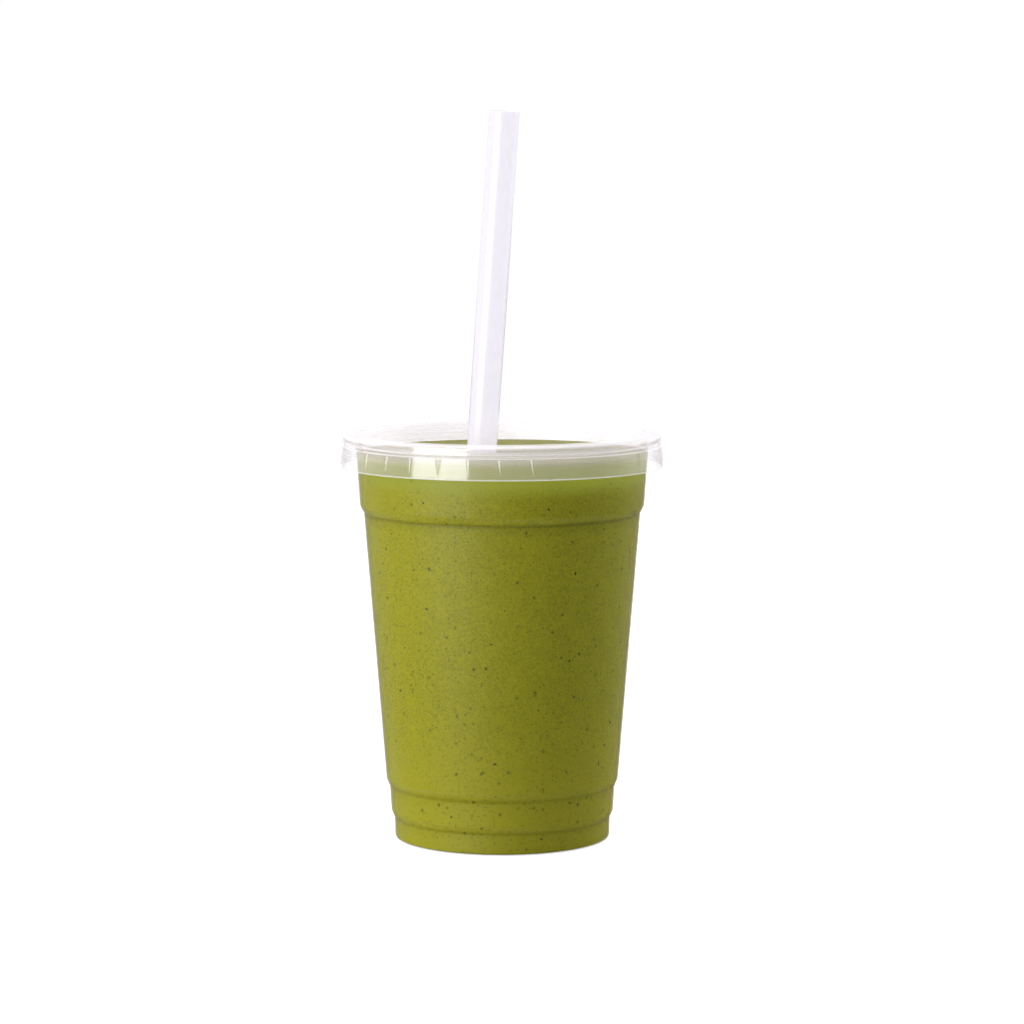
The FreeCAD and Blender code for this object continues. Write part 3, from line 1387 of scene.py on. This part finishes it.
@dataclass
class Studio:
    """A plain white floor and surround, soft lamps and the camera.

    The lamps face a point on the cup's axis, at a share of the whole height.
    """

    floor_size: float = 12.0
    floor_shade: float = 0.85
    floor_gloss_shade: float = 0.12
    floor_lift: float = 0.70
    back_light: float = 0.85
    front_light: float = 0.03
    backdrop: float = 1.02
    aim_height: float = 0.35
    clear_layers: int = 32
    camera_distance: float = 1.1588
    camera_height: float = 0.22725
    camera_side: float = 0.0031
    camera_pitch: float = 6.1
    lens: float = 130.0
    sensor: float = 36.0
    lamps: tuple[Softbox, ...] = (
        Softbox("key", -44.5, 12.0, 1.0, 0.75, 0.80, 3.95),
        Softbox("side", -80.0, 12.0, 1.2, 0.9, 0.9, 3.1, gleams=False),
        Softbox("right_back", 118.0, 12.0, 1.3, 1.2, 0.9, 4.2, gleams=False),
        Softbox("top", 20.0, 80.0, 1.1, 0.9, 0.9, 1.2),
    )

    def build_floor(self) -> None:
        """Adds the floor, which stays pale to the eye and keeps a soft shadow."""
        Bench.clear()
        bpy.ops.mesh.primitive_plane_add(size=self.floor_size, location=(0, 0, 0))
        floor = Bench.adopt("floor")
        graph, material = Graph.of_material("pale_floor")
        path = graph.add("ShaderNodeLightPath", {}, {})
        seen = graph.out(path, "Is Camera Ray")
        mirrored = graph.out(path, "Is Glossy Ray")
        shade = graph.blend(mirrored, (self.floor_shade,) * 3, (self.floor_gloss_shade,) * 3)
        lit = graph.shader("ShaderNodeBsdfDiffuse", {"Color": shade})
        dark, glow = graph.emission(WHITE, 0.0), graph.emission(WHITE, self.floor_lift)
        graph.surface(graph.add_shaders(lit, graph.mix_shaders(seen, dark, glow)))
        floor.data.materials.append(material)

    def build_world(self) -> None:
        """Sets a white surround, brighter behind the cup than in front of it."""
        world = bpy.data.worlds.new("surround")
        bpy.context.scene.world = world
        world.use_nodes = True
        graph = Graph(world.node_tree)
        way = graph.add("ShaderNodeTexCoord", {}, {})
        across = graph.add("ShaderNodeSeparateXYZ", {}, {0: graph.out(way, "Generated")})
        behind = graph.step(graph.out(across, "Y"), -0.4, 0.7)
        strength = self.front_light + (self.back_light - self.front_light) * behind
        seen = graph.out(graph.add("ShaderNodeLightPath", {}, {}), "Is Camera Ray")
        lighting = graph.shader("ShaderNodeBackground", {"Color": WHITE, "Strength": strength})
        shown = graph.shader("ShaderNodeBackground", {"Color": WHITE, "Strength": self.backdrop})
        graph.surface(graph.mix_shaders(seen, lighting, shown), "ShaderNodeOutputWorld")

    def build_camera(self) -> None:
        """Adds the camera."""
        bpy.ops.object.camera_add(
            location=(self.camera_side, -self.camera_distance, self.camera_height),
            rotation=(math.radians(90 - self.camera_pitch), 0, 0),
        )
        camera = bpy.context.object
        camera.data.lens = self.lens
        camera.data.sensor_width = self.sensor
        bpy.context.scene.camera = camera

    def build(self) -> None:
        """Builds the whole studio."""
        aim = Vector((0.0, 0.0, FRAME_BOX[1].z * self.aim_height))
        self.build_floor()
        self.build_world()
        for lamp in self.lamps:
            lamp.place(aim)
        self.build_camera()
        scene = bpy.context.scene
        scene.view_settings.view_transform = "Standard"
        scene.cycles.transparent_max_bounces = self.clear_layers


# --- Finishes of this cup --------------------------------------------------

CUP_PLASTIC = ClearPlastic(
    name="satin_clear_plastic",
    tint=(0.99, 0.99, 0.985),
    haze=0.002,
    # the beige haze colour is the tint of the cup's painted edge reflection and painted brow
    # highlights
    haze_colour=(0.95, 0.85, 0.66),
    roughness=0.41,
    facing_gloss=0.072,
    edge_gloss=0.5,
    painted_edge_reflection=0.20,
    # painted highlights on the brows of the cup's steps
    haze_and_highlight_bands=(HazeAndHighlightBand(8.3, 1.1, 0.035), HazeAndHighlightBand(19.0, 1.3, 0.035), HazeAndHighlightBand(105.2, 1.1, 0.035)),
)
LID_PLASTIC = ClearPlastic(
    name="hazy_clear_plastic",
    tint=(0.995, 0.989, 0.998),
    haze=0.090,
    haze_colour=(0.92, 0.895, 0.945),
    roughness=0.10,
    facing_gloss=0.070,
    edge_gloss=0.2,
    # painted glow in the lid's haze
    glow=0.37,
    smudge_size=0.008,
    clear_radius=42.7,
    calm_radius=44.6,
    # partly the lid's own milkiness and partly painted highlight lines along the ring, the skirt
    # and the hem
    haze_and_highlight_bands=(
        HazeAndHighlightBand(118.25, 0.4, 0.25),
        HazeAndHighlightBand(122.9, 1.6, 0.05),
        HazeAndHighlightBand(124.7, 0.3, 0.26),
        HazeAndHighlightBand(125.9, 0.6, 0.18),
        HazeAndHighlightBand(128.2, 1.3, 0.3),
    ),
)
BUBBLE_FILM = ClearPlastic(
    name="bubble_film",
    tint=(0.95, 0.95, 0.85),
    haze=0.12,
    haze_colour=(0.75, 0.75, 0.4),
    roughness=0.08,
)


def main() -> None:
    """Builds the cup, the drink, the straw and the lid, and then the studio."""
    logging.basicConfig(level=logging.INFO, format="%(name)s: %(message)s")
    cup = Cup()
    drink = Drink(cup)
    straw = Straw()
    lid = Lid()
    greens = BlendedGreens().material()
    hand_over(cup.build(), CUP_PLASTIC.material(), Node.CUP)
    hand_over(drink.build_body(), greens, Node.SMOOTHIE)
    hand_over(drink.build_shreds(), LeafShred().material())
    hand_over(drink.build_bubbles(), BUBBLE_FILM.material())
    hand_over(straw.build(), MilkyPlastic().material(), Node.STRAW)
    hand_over(lid.build(straw), LID_PLASTIC.material(), Node.LID)
    Studio().build()


if __name__ == "__main__":
    main()
